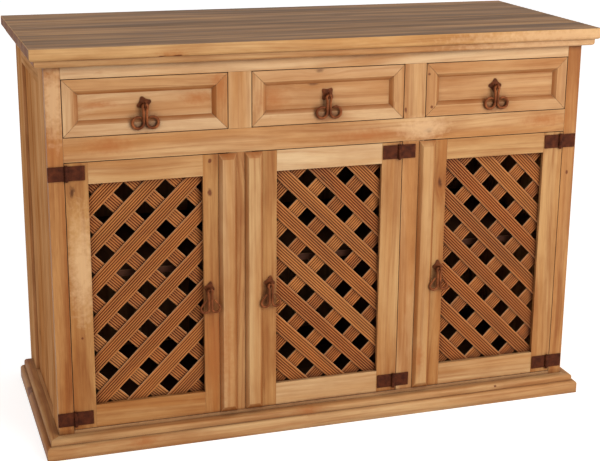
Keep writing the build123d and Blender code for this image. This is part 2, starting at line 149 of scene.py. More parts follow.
def stretched(tree, place, scales):
    """A place scaled differently along each of its axes."""
    node = tree.nodes.new("ShaderNodeMapping")
    feed(tree, node.inputs["Vector"], place)
    feed(tree, node.inputs["Scale"], scales)
    return node.outputs[0]


def new_material(name):
    """A material, its node tree and its surface shader."""
    material = bpy.data.materials.new(f"{name}_finish")
    material.use_nodes = True
    tree = material.node_tree
    return material, tree, tree.nodes["Principled BSDF"]


# %% Floor, sky and lamps
floor_reach = 40.0
bm = bmesh.new()
bmesh.ops.create_grid(bm, x_segments=1, y_segments=1, size=floor_reach)
floor_mesh = bpy.data.meshes.new("studio_floor")
bm.to_mesh(floor_mesh)
bm.free()
floor = bpy.data.objects.new("studio_floor", floor_mesh)
bpy.context.scene.collection.objects.link(floor)


def seen_or_mirrored(tree):
    """1 for rays from the camera or off a mirror-like surface, 0 for the light itself."""
    rays = tree.nodes.new("ShaderNodeLightPath")
    shiny = maths(tree, "MAXIMUM", rays.outputs["Is Glossy Ray"], rays.outputs["Is Transmission Ray"])
    return maths(tree, "MAXIMUM", rays.outputs["Is Camera Ray"], shiny)


floor_colour = (0.8, 0.8, 0.8, 1.0)
floor_lift = 0.62
floor_material, tree, shader = new_material("studio_floor")
shader.inputs["Base Color"].default_value = floor_colour
shader.inputs["Roughness"].default_value = 1.0
shader.inputs["Specular IOR Level"].default_value = 0.0
glow = tree.nodes.new("ShaderNodeEmission")
feed(tree, glow.inputs["Strength"], maths(tree, "MULTIPLY", seen_or_mirrored(tree), floor_lift))
both = tree.nodes.new("ShaderNodeAddShader")
tree.links.new(shader.outputs[0], both.inputs[0])
tree.links.new(glow.outputs[0], both.inputs[1])
tree.links.new(both.outputs[0], tree.nodes["Material Output"].inputs["Surface"])
floor_mesh.materials.append(floor_material)

sky_light = 0.55
world = bpy.data.worlds.new("studio_sky")
bpy.context.scene.world = world
world.use_nodes = True
tree = world.node_tree
sky = tree.nodes["Background"]
sky.inputs["Color"].default_value = (1.0, 1.0, 1.0, 1.0)
lift = ranged(tree, seen_or_mirrored(tree), 0.0, 1.0, sky_light, 1.0)
tree.links.new(lift, sky.inputs["Strength"])


def soft_lamp(name, place, aim, side, watts):
    """A square lamp that faces a point."""
    data = bpy.data.lights.new(name, "AREA")
    data.size = side
    data.energy = watts
    lamp = bpy.data.objects.new(name, data)
    bpy.context.scene.collection.objects.link(lamp)
    turn = (Vector(aim) - Vector(place)).to_track_quat("-Z", "Y")
    lamp.matrix_world = Matrix.Translation(place) @ turn.to_matrix().to_4x4()
    return lamp


cabinet_middle = (0.0, 0.0, 0.45)
soft_lamp("key_lamp", (1.6, -3.4, 1.7), cabinet_middle, 2.2, 95.0)
soft_lamp("fill_lamp", (-3.2, -1.6, 1.6), cabinet_middle, 2.0, 12.0)

# %% [markdown]
# ## Boards
# Every wooden piece is a board. Its shape is copied from the frame's node, merged and cleared of
# loose triangles, and its sharp arrises are bevelled, as hand tools and years of use leave them.
# Each board then gets two attributes that its finish reads: `grain`, where each point lies in
# the log that the board was sawn from, with the first axis along the fibres and the other two
# measured from the log's pith, and `stain`, how deeply stain has soaked into it. Stain works like
# a coloured glass, so a deeper one makes the wood darker and redder together, which is a power of
# the colour and not a plain dimming. Neighbouring boards so never share one pattern, and the grain
# of a rail runs across the grain of a stile.

# %% Copies of the frame's boards
merge_reach = 0.00001  # vertices this near are one
flat_turn = radians(0.6)  # faces that turn by less are one flat face


def copied_solids(node):
    """A node's solids as a clean bmesh: merged, and with their flat faces whole again."""
    bm = bmesh.new()
    bm.from_mesh(frame["nodes"][node].data)
    for layer in list(bm.loops.layers.uv):
        bm.loops.layers.uv.remove(layer)
    bmesh.ops.remove_doubles(bm, verts=bm.verts, dist=merge_reach)
    bmesh.ops.dissolve_limit(bm, angle_limit=flat_turn, verts=bm.verts, edges=bm.edges)
    return bm


def separate_boards(bm):
    """The vertices of each connected piece, in the order of their places."""
    unseen, boards = set(bm.verts), []
    while unseen:
        edge_of_search = [unseen.pop()]
        board = set(edge_of_search)
        while edge_of_search:
            for edge in edge_of_search.pop().link_edges:
                for vert in edge.verts:
                    if vert in unseen:
                        unseen.discard(vert)
                        board.add(vert)
                        edge_of_search.append(vert)
        boards.append(board)
    # Left to right counts most, then bottom to top, then front to back.
    ways = Vector((1.0, 1 / 53, 1 / 7))
    return sorted(boards, key=lambda board: ways.dot(sum(corners(board), Vector())))


def corners(verts):
    """The lowest and highest corner of some vertices' box."""
    low = Vector([min(vert.co[axis] for vert in verts) for axis in range(3)])
    high = Vector([max(vert.co[axis] for vert in verts) for axis in range(3)])
    return low, high


def soften(bm, width, segments=2, least_turn=30.0):
    """Bevel the arrises that turn by more than least_turn, and note their middles, to be painted paler as wear and
    as a painted highlight.
    """
    rubbed_and_highlit = bm.verts.layers.float.new("rubbed_and_highlit")
    sharp = [
        edge for edge in bm.edges
        if len(edge.link_faces) == 2 and edge.calc_face_angle(0.0) > radians(least_turn)]
    made = bmesh.ops.bevel(
        bm, geom=sharp, offset=width, offset_type="OFFSET", segments=segments, profile=0.5,
        affect="EDGES", clamp_overlap=True, material=-1,
    )
    bevelled = set(made["faces"])
    waxed_and_shaded = bm.faces.layers.float.get("waxed_and_shaded")
    if waxed_and_shaded is not None:
        for face in bevelled:
            face[waxed_and_shaded] = 0.0
    for vert in {vert for face in bevelled for vert in face.verts}:
        if all(face in bevelled for face in vert.link_faces):
            vert[rubbed_and_highlit] = 1.0


log_reach = 30.0  # boards are cut at random places along this length
pith_depths = (0.015, 0.075)
tone_spread = 0.05
stain_strength = 1.06  # how far a tone moves the power of the colour
# Each board's tone was tuned until its brightness matched, so besides its stain it also carries some painted light
# and shade on that board.
board_tones = {
    "top_rail": [0.25], "drawer_rail": [-0.06], "bottom_rail": [0.04], "drawer_dividers": [0.02, -0.12],
    "face_posts": [-0.36, -0.27], "fixed_stiles": [-0.22, -0.03],
    "door_1_frame": [-0.3, -0.12, 0.07, -0.29], "door_2_frame": [-0.24, 0.17, 0.27, -0.06],
    "door_3_frame": [-0.18, 0.1, -0.13, -0.16],
    "door_1_strip": [0.06], "door_2_strip": [-0.06], "door_3_strip": [-0.04],
    "drawer_1_panel": [0.08], "drawer_2_panel": [0.0], "drawer_3_panel": [-0.02],
    "drawer_1_frame": [0.17, 0.18, -0.05, -0.17], "drawer_2_frame": [0.01, 0.13, 0.23, -0.1],
    "drawer_3_frame": [-0.1, 0.1, -0.06, 0.06],
    "plinth_boards": [-0.27, 0.05, 0.0], "base_moulding": [-0.21, -0.03, -0.2], "cornice": [-0.3, -0.02, 0.0],
    "side_panels": [-0.07, -0.07], "side_stiles": [-0.01, 0.01, -0.01, 0.01],
    "side_rails": [0.25, 0.02, 0.25, 0.02],
}


def stain_depth(tone):
    """The power of the colour that makes it this share brighter, or darker and redder."""
    return 1 - stain_strength * log(1 + tone)


def lay_grain(bm, seed):
    """Write each board's place in its log, and its tone."""
    grain = bm.verts.layers.float_vector.new("grain")
    stain = bm.verts.layers.float.new("stain")
    tones = board_tones.get(seed, [])
    for number, board in enumerate(separate_boards(bm)):
        draw = random.Random(f"{seed} {number}")
        low, high = corners(board)
        middle, size = (low + high) / 2, high - low
        thin, wide, long = sorted(range(3), key=lambda axis: size[axis])
        start = Vector((
            draw.uniform(0, log_reach), draw.uniform(-0.7, 0.7) * size[wide], draw.uniform(*pith_depths)))
        tilt = draw.uniform(-0.02, 0.02)
        own_tone = draw.uniform(-tone_spread, tone_spread)
        own_tone += tones[number] if number < len(tones) else 0.0
        for vert in board:
            at = vert.co - middle
            vert[grain] = start + Vector((at[long], at[wide] + tilt * at[long], at[thin]))
            vert[stain] = stain_depth(own_tone)


def finished(bm, name, node, material):
    """Turn a bmesh into a piece that stands for a node and rides on its body."""
    mesh = bpy.data.meshes.new(name)
    bm.to_mesh(mesh)
    bm.free()
    mesh.materials.append(material)
    piece = bpy.data.objects.new(name, mesh)
    bpy.context.scene.collection.objects.link(piece)
    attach(piece, body_of_node[node])
    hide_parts(node)
    return piece


def note_wax_and_shade(bm, slopes):
    """Note end grain, which drinks wax, and forward slopes, painted darker towards their deeper edge as wax and
    painted shade.
    """
    sunk = bm.verts.layers.float.new("sunk")
    waxed_and_shaded = bm.faces.layers.float.new("waxed_and_shaded")
    bm.normal_update()
    for board in separate_boards(bm):
        low, high = corners(board)
        long = max(range(3), key=lambda axis: (high - low)[axis])
        for face in {face for vert in board for face in vert.link_faces}:
            ahead, up = face.normal.y, face.normal.z
            if abs(face.normal[long]) > 0.9:
                face[waxed_and_shaded] = 2.0
            elif slopes and -0.97 < ahead < -0.15 and ahead + up < 0.25:
                face[waxed_and_shaded] = 1.0
                for vert in face.verts:
                    vert[sunk] = 1.0 if vert.co.y > face.calc_center_median().y else 0.0


def board_piece(node, material, arris):
    """A node's boards with worn arrises and their own grain."""
    bm = copied_solids(node)
    note_wax_and_shade(bm, node.endswith("_strip") or node.startswith("drawer_") and node.endswith("_frame"))
    soften(bm, arris)
    lay_grain(bm, node)
    if node == "top_boards":
        # Note the top's upward faces, which are painted grey-brown as greyed wood and as a painted sheen.
        top_upward = bm.verts.layers.float.new("top_upward")
        for face in bm.faces:
            if face.normal.z > 0.99:
                for vert in face.verts:
                    vert[top_upward] = 1.0
    return finished(bm, f"{node}_worn", node, material)


# %% [markdown]
# ## Waxed pine
# Pine shows the log's yearly rings: a board sawn off-centre cuts them as straight lines near its
# edges and as long arches in its middle. The rings here are cylinders about the pith, bent by
# slow noise along the fibres. Honey-coloured and browner streaks follow the same bends, stain has
# soaked in unevenly, and a few small knots lie between them. Dark wax, deepened by painted shade,
# gathers where surfaces meet and on forward slopes, and painted shadows lie under the doors and
# the pulls. Arrises are painted paler, as wear and as a painted highlight, and the top's upward
# faces are painted grey-brown, as greyed wood and as a painted sheen.

# %% Figures of the wood
figure_kinds = {  # colour, strength, and how far from the middle it starts and stops fading
    "knot": (srgb(96, 40, 18), 0.85, 0.5, 1.0),
    "flame": (srgb(166, 97, 47), 0.72, 0.1, 1.3),
    "bloom": (srgb(222, 180, 134), 0.6, 0.3, 1.2),
    # Painted shadow: the shade in the gap under the doors and on the wood below the pulls' loops.
    "painted_shadow": (srgb(112, 58, 28), 0.6, 0.2, 1.2),
}


def attribute(tree, name):
    """A value stored in the mesh."""
    node = tree.nodes.new("ShaderNodeAttribute")
    node.attribute_name = name
    return node.outputs["Fac"]


def with_figures(tree, colour, figures):
    """Lay knots, flames, pale blooms and painted shadows over a colour at their places on the piece."""
    place = tree.nodes.new("ShaderNodeTexCoord").outputs["Object"]
    ragged = ranged(tree, clouds(tree, place, 90.0, 3.0, 0.6), 0.2, 0.8, -0.45, 0.45)
    for kind, middle, half_sizes in figures:
        tint, strength, full, gone = figure_kinds[kind]
        spot = tree.nodes.new("ShaderNodeMapping")
        spot.vector_type = "TEXTURE"
        feed(tree, spot.inputs["Vector"], place)
        feed(tree, spot.inputs["Location"], middle)
        feed(tree, spot.inputs["Scale"], half_sizes)
        reach = tree.nodes.new("ShaderNodeVectorMath")
        reach.operation = "LENGTH"
        tree.links.new(spot.outputs[0], reach.inputs[0])
        distance = maths(tree, "ADD", reach.outputs["Value"], ragged)
        colour = mixed(tree, ranged(tree, distance, full, gone, strength, 0.0), colour, tint)
    return colour


# %% Pine
year_wide = 0.0095  # between two yearly rings
knot_rarity = 0.86  # the share of the grid's cells that hold no knot
corner_reach = 0.018  # how far wax and painted shade reach from where two surfaces meet


def pine(name, pale, warm, dark, wax_and_shade, figures=(), rings=0.3, polish=0.16, corner_wax_and_shade=0.92):
    """Waxed pine, with its colours from the pale early wood to the dark wax and painted shade in its corners."""
    material, tree, shader = new_material(name)
    grain = tree.nodes.new("ShaderNodeAttribute")
    grain.attribute_name = "grain"
    in_log = grain.outputs["Vector"]

    # Knots: one place in each cell of a stretched grid, and only some cells hold one.
    cells = tree.nodes.new("ShaderNodeTexVoronoi")
    cells.voronoi_dimensions = "2D"
    tree.links.new(stretched(tree, in_log, (4.6, 9.0, 1.0)), cells.inputs["Vector"])
    feed(tree, cells.inputs["Scale"], 1.0)
    cell_colour = tree.nodes.new("ShaderNodeSeparateColor")
    tree.links.new(cells.outputs["Color"], cell_colour.inputs[0])
    holds_knot = maths(tree, "GREATER_THAN", cell_colour.outputs[0], knot_rarity)
    nearness = maths(
        tree, "MULTIPLY", ranged(tree, cells.outputs["Distance"], 0.0, 0.4, 1.0, 0.0), holds_knot)
    swell = maths(tree, "POWER", nearness, 2.0)
    rough = clouds(tree, stretched(tree, in_log, (70.0, 150.0, 150.0)), 1.0, 2.0)
    uneven = ranged(tree, rough, 0.3, 0.7, -0.02, 0.02)
    heart = maths(tree, "ADD", cells.outputs["Distance"], uneven)
    knot = maths(tree, "MULTIPLY", ranged(tree, heart, 0.015, 0.065, 1.0, 0.0), holds_knot)

    # Everything that follows the fibres is read at a place that slow noise and knots push aside.
    slow = clouds(tree, stretched(tree, in_log, (1.1, 4.0, 4.0)), 1.0, 1.0)
    aside = maths(tree, "ADD", maths(tree, "MULTIPLY", slow, 0.06), maths(tree, "MULTIPLY", swell, 0.012))
    shift = tree.nodes.new("ShaderNodeCombineXYZ")
    tree.links.new(aside, shift.inputs["Y"])
    tree.links.new(aside, shift.inputs["Z"])
    moved = tree.nodes.new("ShaderNodeVectorMath")
    tree.links.new(in_log, moved.inputs[0])
    tree.links.new(shift.outputs[0], moved.inputs[1])
    flow = moved.outputs[0]

    # Rings: the distance from the pith, unevenly spaced, dark at each year's end.
    split = tree.nodes.new("ShaderNodeSeparateXYZ")
    tree.links.new(flow, split.inputs[0])
    radius = maths(tree, "SQRT", maths(
        tree, "ADD", maths(tree, "POWER", split.outputs["Y"], 2.0), maths(tree, "POWER", split.outputs["Z"], 2.0)))
    waver = clouds(tree, stretched(tree, flow, (5.0, 45.0, 45.0)), 1.0, 2.0)
    year = maths(tree, "FRACT", maths(
        tree, "ADD", maths(tree, "DIVIDE", radius, year_wide), maths(tree, "MULTIPLY", waver, 1.6)))
    ring = tree.nodes.new("ShaderNodeValToRGB")
    tree.links.new(year, ring.inputs[0])
    ring.color_ramp.interpolation = "EASE"
    ring.color_ramp.elements[0].position = 0.0
    ring.color_ramp.elements[0].color = (0.3, 0.3, 0.3, 1)
    ring.color_ramp.elements[1].position = 1.0
    ring.color_ramp.elements[1].color = (0.3, 0.3, 0.3, 1)
    for position, depth in ((0.15, 0.0), (0.5, 0.15), (0.85, 1.0)):
        stop = ring.color_ramp.elements.new(position)
        stop.color = (depth, depth, depth, 1)

    broad = clouds(tree, stretched(tree, flow, (1.4, 24.0, 24.0)), 1.0, 3.0, 0.5)
    streak = clouds(tree, stretched(tree, flow, (1.8, 95.0, 95.0)), 1.0, 3.0, 0.55)
    fibre = clouds(tree, stretched(tree, flow, (12.0, 700.0, 700.0)), 1.0, 3.0, 0.6)
    soaked = clouds(tree, stretched(tree, in_log, (5.0, 16.0, 16.0)), 1.0, 4.0, 0.6)

    ring_share = maths(
        tree, "MULTIPLY", ring.outputs[0], ranged(tree, streak, 0.35, 0.65, 0.2 * rings, rings))
    colour = mixed(tree, ranged(tree, broad, 0.36, 0.62), pale, warm)
    colour = mixed(tree, ranged(tree, streak, 0.48, 0.7, 0.0, 0.42), colour, dark)
    colour = mixed(tree, ring_share, colour, dark)
    colour = mixed(tree, ranged(tree, fibre, 0.35, 0.75, 0.0, 0.25), colour, dark)
    colour = mixed(tree, ranged(tree, soaked, 0.47, 0.72, 0.0, 0.45), colour, dark)
    colour = mixed(tree, ranged(tree, soaked, 0.28, 0.45, 0.45, 0.0), colour, pale)
    colour = mixed(tree, maths(tree, "MULTIPLY", swell, 0.4), colour, dark)
    colour = mixed(tree, maths(tree, "MULTIPLY", knot, 0.65), colour, wax_and_shade)

    stained = tree.nodes.new("ShaderNodeGamma")
    tree.links.new(colour, stained.inputs["Color"])
    tree.links.new(attribute(tree, "stain"), stained.inputs["Gamma"])
    colour = with_figures(tree, stained.outputs[0], figures)
    # The top's upward faces are painted grey-brown: partly greyed wood, partly a painted sheen.
    if name == "pine_top":
        grey = mixed(tree, ranged(tree, broad, 0.38, 0.62, 0.0, 0.8), top_grey_pale, top_grey_dark)
        grey = mixed(tree, ranged(tree, streak, 0.4, 0.64, 0.0, 0.55), grey, top_grey_dark)
        grey = mixed(tree, ranged(tree, ring_share, 0.0, 0.3, 0.0, 0.35), grey, top_grey_dark)
        grey = mixed(tree, ranged(tree, soaked, 0.45, 0.75, 0.0, 0.3), grey, top_grey_dark)
        colour = mixed(tree, maths(tree, "MULTIPLY", attribute(tree, "top_upward"), 0.92), colour, grey)
    if name == "pine_slats":
        # Painted highlights on the reed crests and slat edges, and painted shade with wax in the valleys between
        # reeds.
        crest = attribute(tree, "crest")
        colour = mixed(tree, ranged(tree, crest, 0.8, 1.0, 0.0, 0.6), colour, reed_highlight)
        colour = mixed(tree, ranged(tree, crest, 1.1, 2.0, 0.0, 0.75), colour, slat_edge_highlight)
        colour = mixed(tree, ranged(tree, crest, 0.0, 0.65, 0.95, 0.0), colour, wax_and_shade)
    # Arrises are painted paler, partly as wear and partly as a painted highlight.
    colour = mixed(tree, maths(tree, "MULTIPLY", attribute(tree, "rubbed_and_highlit"), 0.45), colour, pale)
    # Forward slopes are painted darker towards their deeper edge, as wax and painted shade; end grain is darkened
    # with wax.
    waxed_and_shaded = attribute(tree, "waxed_and_shaded")
    slope_dark_share = maths(tree, "ADD", ranged(tree, soaked, 0.3, 0.65, 0.2, 0.6), ranged(
        tree, attribute(tree, "sunk"), 0.2, 1.0, 0.0, 0.45))
    colour = mixed(tree, maths(tree, "MULTIPLY", waxed_and_shaded, slope_dark_share, clamp=True), colour, dark)
    colour = mixed(tree, ranged(tree, waxed_and_shaded, 1.0, 2.0, 0.0, 0.5), colour, wax_and_shade)

    # Dark wax and painted shade where nearby surfaces hide a point, patchy along the grain.
    corner = tree.nodes.new("ShaderNodeAmbientOcclusion")
    corner.samples = 6
    corner.inputs["Distance"].default_value = corner_reach
    hidden = ranged(tree, corner.outputs["AO"], 0.4, 0.93, corner_wax_and_shade, 0.0)
    patchy = clouds(tree, stretched(tree, in_log, (9.0, 30.0, 30.0)), 1.0, 2.0)
    corner_patches = ranged(tree, patchy, 0.35, 0.6, 0.6, 1.0)
    colour = mixed(tree, maths(tree, "MULTIPLY", hidden, corner_patches), colour, wax_and_shade)
    tree.links.new(colour, shader.inputs["Base Color"])

    shader.inputs["Specular IOR Level"].default_value = polish
    feed(tree, shader.inputs["Roughness"], ranged(tree, streak, 0.3, 0.7, 0.66, 0.5))
    height = maths(
        tree, "ADD", maths(tree, "MULTIPLY", fibre, 0.6), maths(tree, "MULTIPLY", ring.outputs[0], 0.4))
    bump = tree.nodes.new("ShaderNodeBump")
    bump.inputs["Strength"].default_value = 0.35
    bump.inputs["Distance"].default_value = 0.0006
    tree.links.new(height, bump.inputs["Height"])
    tree.links.new(bump.outputs[0], shader.inputs["Normal"])
    return material


# %% The pines of this cabinet
# The dark wax colour, also used for painted shade in corners and in the slats' valleys.
pine_wax_and_shade = srgb(70, 30, 12)
pine_dark = srgb(142, 80, 32)
# Grey-brown colours for the top's upward faces, partly greyed wood and partly a painted sheen.
top_grey_pale, top_grey_dark = srgb(184, 136, 90), srgb(84, 58, 36)
# Highlight colours painted on the slats' reed crests and edges.
reed_highlight, slat_edge_highlight = srgb(218, 152, 88), srgb(222, 172, 130)
face_y = -0.2485  # the plane of the frame, doors and drawer fronts
board_figures = {
    "pine_top": [
        ("flame", (-0.372, -0.2815, 0.926), (0.032, 0.02, 0.012)),
        ("knot", (-0.397, -0.2815, 0.924), (0.009, 0.01, 0.003)),
        ("knot", (-0.362, -0.2815, 0.9245), (0.014, 0.01, 0.003)),
        ("bloom", (0.6, -0.2815, 0.936), (0.3, 0.03, 0.02))],
    "pine_moulding": [
        ("flame", (-0.456, -0.2815, 0.022), (0.035, 0.02, 0.012)),
        ("flame", (-0.048, -0.27, 0.04), (0.035, 0.03, 0.01)),
        ("bloom", (0.55, -0.275, 0.91), (0.25, 0.04, 0.02)),
        ("knot", (0.452, -0.27, 0.042), (0.004, 0.01, 0.003)),
        ("knot", (-0.682, 0.075, 0.026), (0.016, 0.03, 0.012))],
    "pine_frame": [
        ("flame", (-0.516, face_y, 0.727), (0.055, 0.03, 0.018)),
        ("flame", (-0.635, face_y, 0.722), (0.022, 0.03, 0.05)),
        ("flame", (0.1, face_y, 0.714), (0.1, 0.03, 0.014)),
        ("flame", (0.56, face_y, 0.725), (0.06, 0.03, 0.014)),
        ("bloom", (0.235, face_y, 0.722), (0.065, 0.03, 0.03)),
        ("knot", (0.63, face_y, 0.5885), (0.004, 0.01, 0.006)),
        ("bloom", (-0.632, face_y, 0.83), (0.03, 0.03, 0.09)),
        ("knot", (0.191, face_y, 0.769), (0.003, 0.01, 0.009)),
        # A painted shadow along the gap under the doors.
        ("painted_shadow", (0.0, face_y, 0.057), (0.62, 0.02, 0.004))],
    "pine_door": [
        ("knot", (-0.285, face_y, 0.677), (0.005, 0.01, 0.006)),
        ("knot", (-0.286, face_y, 0.604), (0.006, 0.01, 0.011)),
        ("knot", (-0.5874, face_y, 0.281), (0.0035, 0.01, 0.004)),
        ("flame", (-0.27, face_y, 0.2), (0.035, 0.03, 0.13)),
        ("flame", (-0.182, -0.256, 0.69), (0.022, 0.02, 0.012)),
        ("flame", (-0.244, -0.256, 0.69), (0.022, 0.02, 0.01)),
        ("flame", (0.243, -0.256, 0.14), (0.012, 0.02, 0.04)),
        ("bloom", (-0.58, face_y, 0.45), (0.03, 0.03, 0.13)),
        # A painted shadow along the gap under the doors.
        ("painted_shadow", (0.0, face_y, 0.057), (0.62, 0.02, 0.005))],
    "pine_drawer": [
        ("flame", (-0.535, -0.2405, 0.818), (0.045, 0.02, 0.007)),
        ("flame", (-0.31, -0.2405, 0.823), (0.035, 0.02, 0.014)),
        ("flame", (-0.262, face_y, 0.85), (0.02, 0.02, 0.05)),
        ("knot", (0.2488, face_y, 0.852), (0.005, 0.02, 0.004)),
        ("knot", (0.257, face_y, 0.773), (0.004, 0.02, 0.004)),
        ("flame", (-0.14, -0.2405, 0.81), (0.04, 0.02, 0.03))],
}
# Painted shadows on the wood below each pull's loops.
for owner in ("drawer_1", "drawer_2", "drawer_3"):
    low_loops = joint_place[f"{owner}_pull_swing"] + Vector((0, 0.012, -0.045))
    board_figures["pine_drawer"].append(("painted_shadow", tuple(low_loops), (0.034, 0.02, 0.018)))
for owner in ("door_1", "door_2", "door_3"):
    low_loops = joint_place[f"{owner}_pull_swing"] + Vector((0, 0.012, -0.03))
    board_figures["pine_door"].append(("painted_shadow", tuple(low_loops), (0.026, 0.02, 0.038)))
pine_colours = {
    "pine_top": (srgb(210, 166, 112), srgb(190, 136, 80), pine_dark),
    "pine_moulding": (srgb(206, 164, 113), srgb(186, 133, 82), pine_dark),
    "pine_frame": (srgb(206, 163, 114), srgb(186, 131, 78), pine_dark),
    "pine_side": (srgb(222, 168, 116), srgb(202, 138, 82), pine_dark),
    "pine_back": (srgb(196, 152, 104), srgb(176, 124, 78), srgb(130, 80, 46)),
    # The inside's colours are darker than the outside's: painted shade for the dim inside of the cabinet.
    "pine_inside": (srgb(108, 70, 44), srgb(92, 58, 34), srgb(62, 36, 20)),
    "pine_slats": (srgb(178, 102, 44), srgb(150, 78, 28), srgb(88, 38, 14)),
    "pine_door": (srgb(203, 161, 110), srgb(184, 131, 78), pine_dark),
    "pine_drawer": (srgb(202, 158, 110), srgb(184, 130, 80), pine_dark),
    "pine_drawer_box": (srgb(206, 160, 112), srgb(188, 134, 86), srgb(140, 88, 50)),
}
pine_surfaces = {
    "pine_moulding": {"corner_wax_and_shade": 0.65}, "pine_side": {"polish": 0.0, "corner_wax_and_shade": 0.35},
    "pine_top": {"polish": 0.08},
}
finishes = {
    slot: pine(slot, *colours, pine_wax_and_shade, board_figures.get(slot, ()), **pine_surfaces.get(slot, {}))
    for slot, colours in pine_colours.items()}

# %% The cabinet's boards
arrises = {
    "pine_top": 0.0012, "pine_moulding": 0.0008, "pine_frame": 0.0009, "pine_side": 0.0009,
    "pine_back": 0.001, "pine_inside": 0.001, "pine_door": 0.001, "pine_drawer": 0.0008,
    "pine_drawer_box": 0.0008,
}
for node, slot in sorted(slot_of_node.items()):
    if slot in arrises:
        piece = board_piece(node, finishes[slot], arrises[slot])
        print(piece.name, len(piece.data.polygons), "faces")

# %% [markdown]
# ## The lattice
# Each slat is a thin strip whose two broad faces are milled with a row of small round reeds. The
# reeds are turned one at a time as half-round arcs, strung side by side into a profile, pushed
# out along the slat and trimmed to the door's rebate, where the ends disappear.

# %% Reeded slats
slat_wide, slat_pitch, slat_thick = 0.033, 0.067, 0.006
slat_rows = 8
lattice_rise, lattice_side = 0.0005, -0.0025  # where the middle hole lies from the window's middle
front_leans = {"door_1": 1, "door_2": -1, "door_3": -1}  # 1 rises to the right
reed_count, reed_steps, reed_turn = 6, 4, radians(130)
slat_tones = {"door_1": 0.03, "door_2": -0.02, "door_3": -0.1}
slat_tone_spread = 0.14


def reeded_profile(bm):
    """A slat's section, across X and through Y: half-round reeds on both of its broad faces."""
    space = slat_wide / reed_count
    radius = space / 2 / sin(reed_turn / 2)
    crest_y = slat_thick / 2 - radius
    valley_y = crest_y + radius * cos(reed_turn / 2)
    for side in (-1, 1):
        for number in range(reed_count):
            left = number * space - slat_wide / 2
            start = bm.verts.new((left, side * valley_y, 0.0))
            bmesh.ops.spin(
                bm, geom=[start], cent=(left + space / 2, side * crest_y, 0.0), axis=(0, 0, -side),
                angle=reed_turn, steps=reed_steps, use_merge=False)
    bmesh.ops.remove_doubles(bm, verts=bm.verts, dist=merge_reach)
    for side in (-1, 1):
        bm.edges.new([v for v in bm.verts if abs(v.co.x - side * slat_wide / 2) < merge_reach])
    return valley_y


def trimmed_slat(along, middle, low, high, tone):
    """A reeded strip through a point of the door's plane, cut to the rebate's box."""
    bm = bmesh.new()
    grain = bm.verts.layers.float_vector.new("grain")
    stain = bm.verts.layers.float.new("stain")
    crest = bm.verts.layers.float.new("crest")
    valley_y = reeded_profile(bm)
    far = bmesh.ops.extrude_edge_only(bm, edges=bm.edges[:])["geom"]
    reach = (high - low).length
    bmesh.ops.translate(bm, verts=bm.verts, vec=(0, 0, -reach))
    far_verts = [item for item in far if isinstance(item, bmesh.types.BMVert)]
    bmesh.ops.translate(bm, verts=far_verts, vec=(0, 0, 2 * reach))
    bmesh.ops.recalc_face_normals(bm, faces=bm.faces)
    draw = random.Random(f"{middle.x:.3f} {middle.z:.3f} {along.z:.1f}")
    start = Vector((draw.uniform(0, log_reach), draw.uniform(-0.02, 0.02), draw.uniform(*pith_depths)))
    own_tone = tone + draw.uniform(-slat_tone_spread, slat_tone_spread)
    for vert in bm.verts:
        vert[grain] = start + Vector((vert.co.z, vert.co.x, vert.co.y))
        vert[stain] = stain_depth(own_tone)
        on_edge = abs(vert.co.x) > slat_wide / 2 - 0.0001
        vert[crest] = 2.0 if on_edge else (abs(vert.co.y) - valley_y) / (slat_thick / 2 - valley_y)
    across = Vector((along.z, 0.0, -along.x))
    turn = Matrix((across, Vector((0.0, 1.0, 0.0)), along)).transposed()
    bmesh.ops.rotate(bm, verts=bm.verts, matrix=turn, cent=(0, 0, 0))
    bmesh.ops.translate(bm, verts=bm.verts, vec=middle)
    for point, sign in ((low, -1), (high, 1)):
        for normal in (Vector((sign, 0, 0)), Vector((0, 0, sign))):
            cut = bmesh.ops.bisect_plane(
                bm, geom=[*bm.verts, *bm.edges, *bm.faces], plane_co=point, plane_no=normal,
                clear_outer=True, dist=0.000001)
            rim = [item for item in cut["geom_cut"] if isinstance(item, bmesh.types.BMEdge)]
            bmesh.ops.holes_fill(bm, edges=rim, sides=0)
    return bm


def lattice_layer(node, lean):
    """One layer of parallel slats, as one piece."""
    low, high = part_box(node)
    middle = (low + high) / 2 + Vector((lattice_side, 0.0, lattice_rise))
    along = Vector((1.0, 0.0, lean)).normalized()
    across = Vector((along.z, 0.0, -along.x))
    layer = bmesh.new()
    for row in range(slat_rows):
        offset = (row - (slat_rows - 1) / 2) * slat_pitch
        strip = trimmed_slat(along, middle + offset * across, low, high, slat_tones[node[:6]])
        mesh = bpy.data.meshes.new("strip")
        strip.to_mesh(mesh)
        strip.free()
        layer.from_mesh(mesh)
        bpy.data.meshes.remove(mesh)
    return finished(layer, f"{node}_reeded", node, finishes["pine_slats"])


for door, lean in front_leans.items():
    for name, way in (("front", lean), ("back", -lean)):
        piece = lattice_layer(f"{door}_{name}_slats", way)
        print(piece.name, len(piece.data.polygons), "faces")

# %% [markdown]
# ## Forged iron
# The hinges and pulls are blackened iron that has gone brown, hammered by hand. Its sheen is
# broken up by two scales of noise, with rust where the wax has worn away. The hammer's marks on
# the rods and plates are moved vertices, so that they also show in the outline.

# %% Iron


